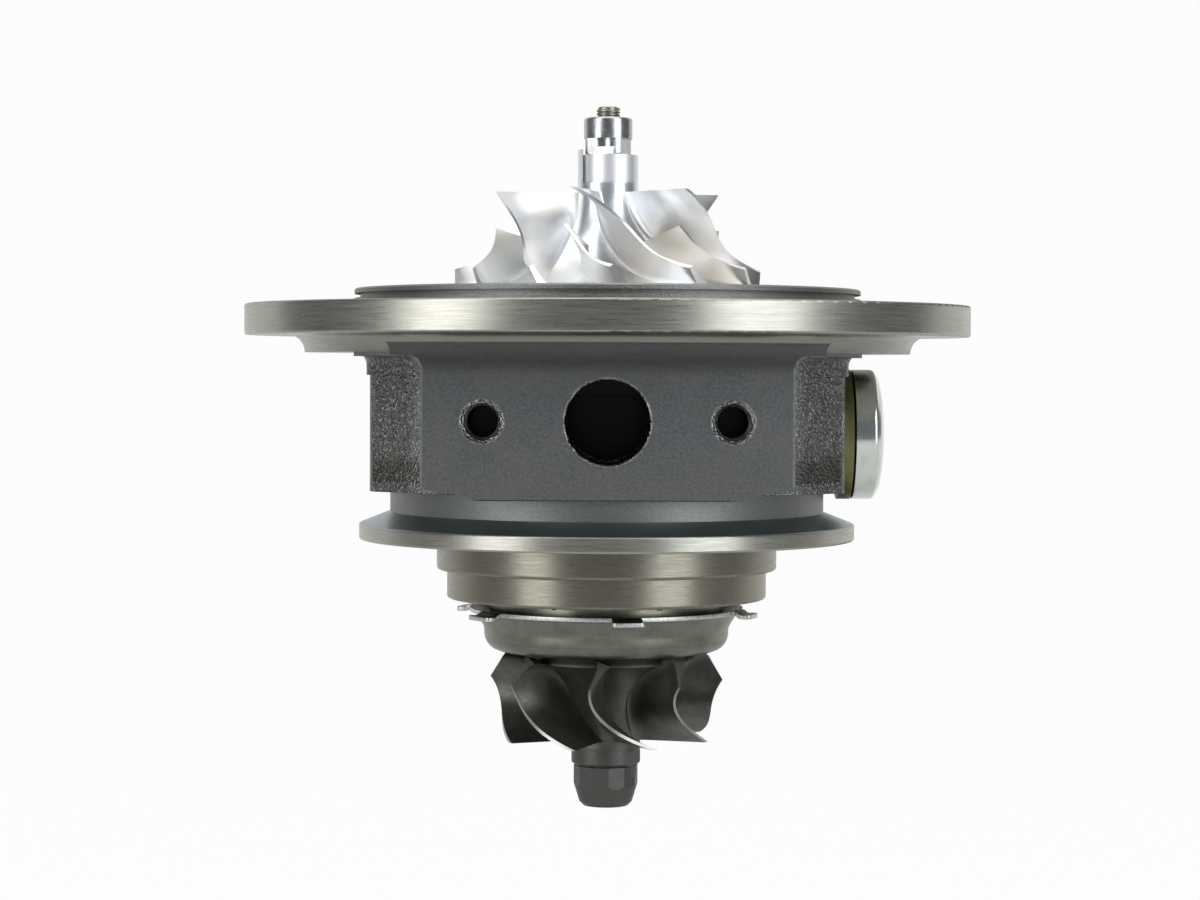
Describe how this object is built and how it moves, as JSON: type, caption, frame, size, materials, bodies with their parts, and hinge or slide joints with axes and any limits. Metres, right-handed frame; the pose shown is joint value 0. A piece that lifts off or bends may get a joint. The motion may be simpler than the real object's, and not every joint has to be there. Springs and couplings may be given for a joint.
{
  "type": "turbo cartridge",
  "caption": "Turbocharger core assembly: flanged cast bearing housing with a compressor wheel above, a turbine wheel below, heat shroud, drain pad and plugged coolant port.",
  "frame": {"origin": "on the shaft axis, in the plane of the large flange's upper face, where the compressor cover seats", "axes": "+Z along the shaft towards the compressor, -Y out of the oil drain pad, +X towards the coolant plug"},
  "size_m": [0.1086, 0.1086, 0.1053],
  "materials": {
    "housing_iron": "turned on the flanges and spigots, as cast between them",
    "plate_aluminium": "turned",
    "seal_rubber": "matte",
    "spring_steel": "satin",
    "bearing_bronze": "turned bronze",
    "ground_steel": "ground",
    "pressed_steel": "pressed sheet",
    "ring_iron": "ground",
    "shroud_steel": "pressed stainless sheet with an olive tint",
    "plated_steel": "bright plated",
    "washer_brass": "dull olive",
    "shaft_steel": "ground",
    "turbine_alloy": "cast nickel alloy, dark, with machined blade tips",
    "compressor_aluminium": "bright milled"
  },
  "bodies": {
    "housing": {"bearing_housing": "housing_iron", "seal_plate": "plate_aluminium", "seal_plate_o_ring": "seal_rubber", "seal_plate_snap_ring": "spring_steel", "thrust_bearing": "bearing_bronze", "thrust_bearing_pins": "ground_steel", "oil_deflector": "pressed_steel", "compressor_seal_ring": "ring_iron", "turbine_seal_ring": "ring_iron", "bearing_clip_upper": "spring_steel", "bearing_clip_middle": "spring_steel", "bearing_clip_lower": "spring_steel", "heat_shroud": "shroud_steel", "coolant_plug": "plated_steel", "coolant_plug_washer": "washer_brass"},
    "rotor": {"shaft": "shaft_steel", "turbine_wheel": "turbine_alloy", "compressor_wheel": "compressor_aluminium", "shaft_nut": "plated_steel", "thrust_collar": "ground_steel", "thrust_washer": "ground_steel", "oil_flinger": "ground_steel"},
    "compressor_side_bearing": {"journal_bearing_compressor_side": "bearing_bronze"},
    "turbine_side_bearing": {"journal_bearing_turbine_side": "bearing_bronze"}
  },
  "joints": [
    {"name": "rotor_spin", "type": "hinge", "parent": "housing", "child": "rotor", "pos_m": [0, 0, 0], "axis": [0, 0, 1], "continuous": true},
    {"name": "compressor_side_bearing_spin", "type": "hinge", "parent": "housing", "child": "compressor_side_bearing", "pos_m": [0, 0, -0.0169], "axis": [0, 0, 1], "continuous": true},
    {"name": "turbine_side_bearing_spin", "type": "hinge", "parent": "housing", "child": "turbine_side_bearing", "pos_m": [0, 0, -0.0361], "axis": [0, 0, 1], "continuous": true}
  ]
}
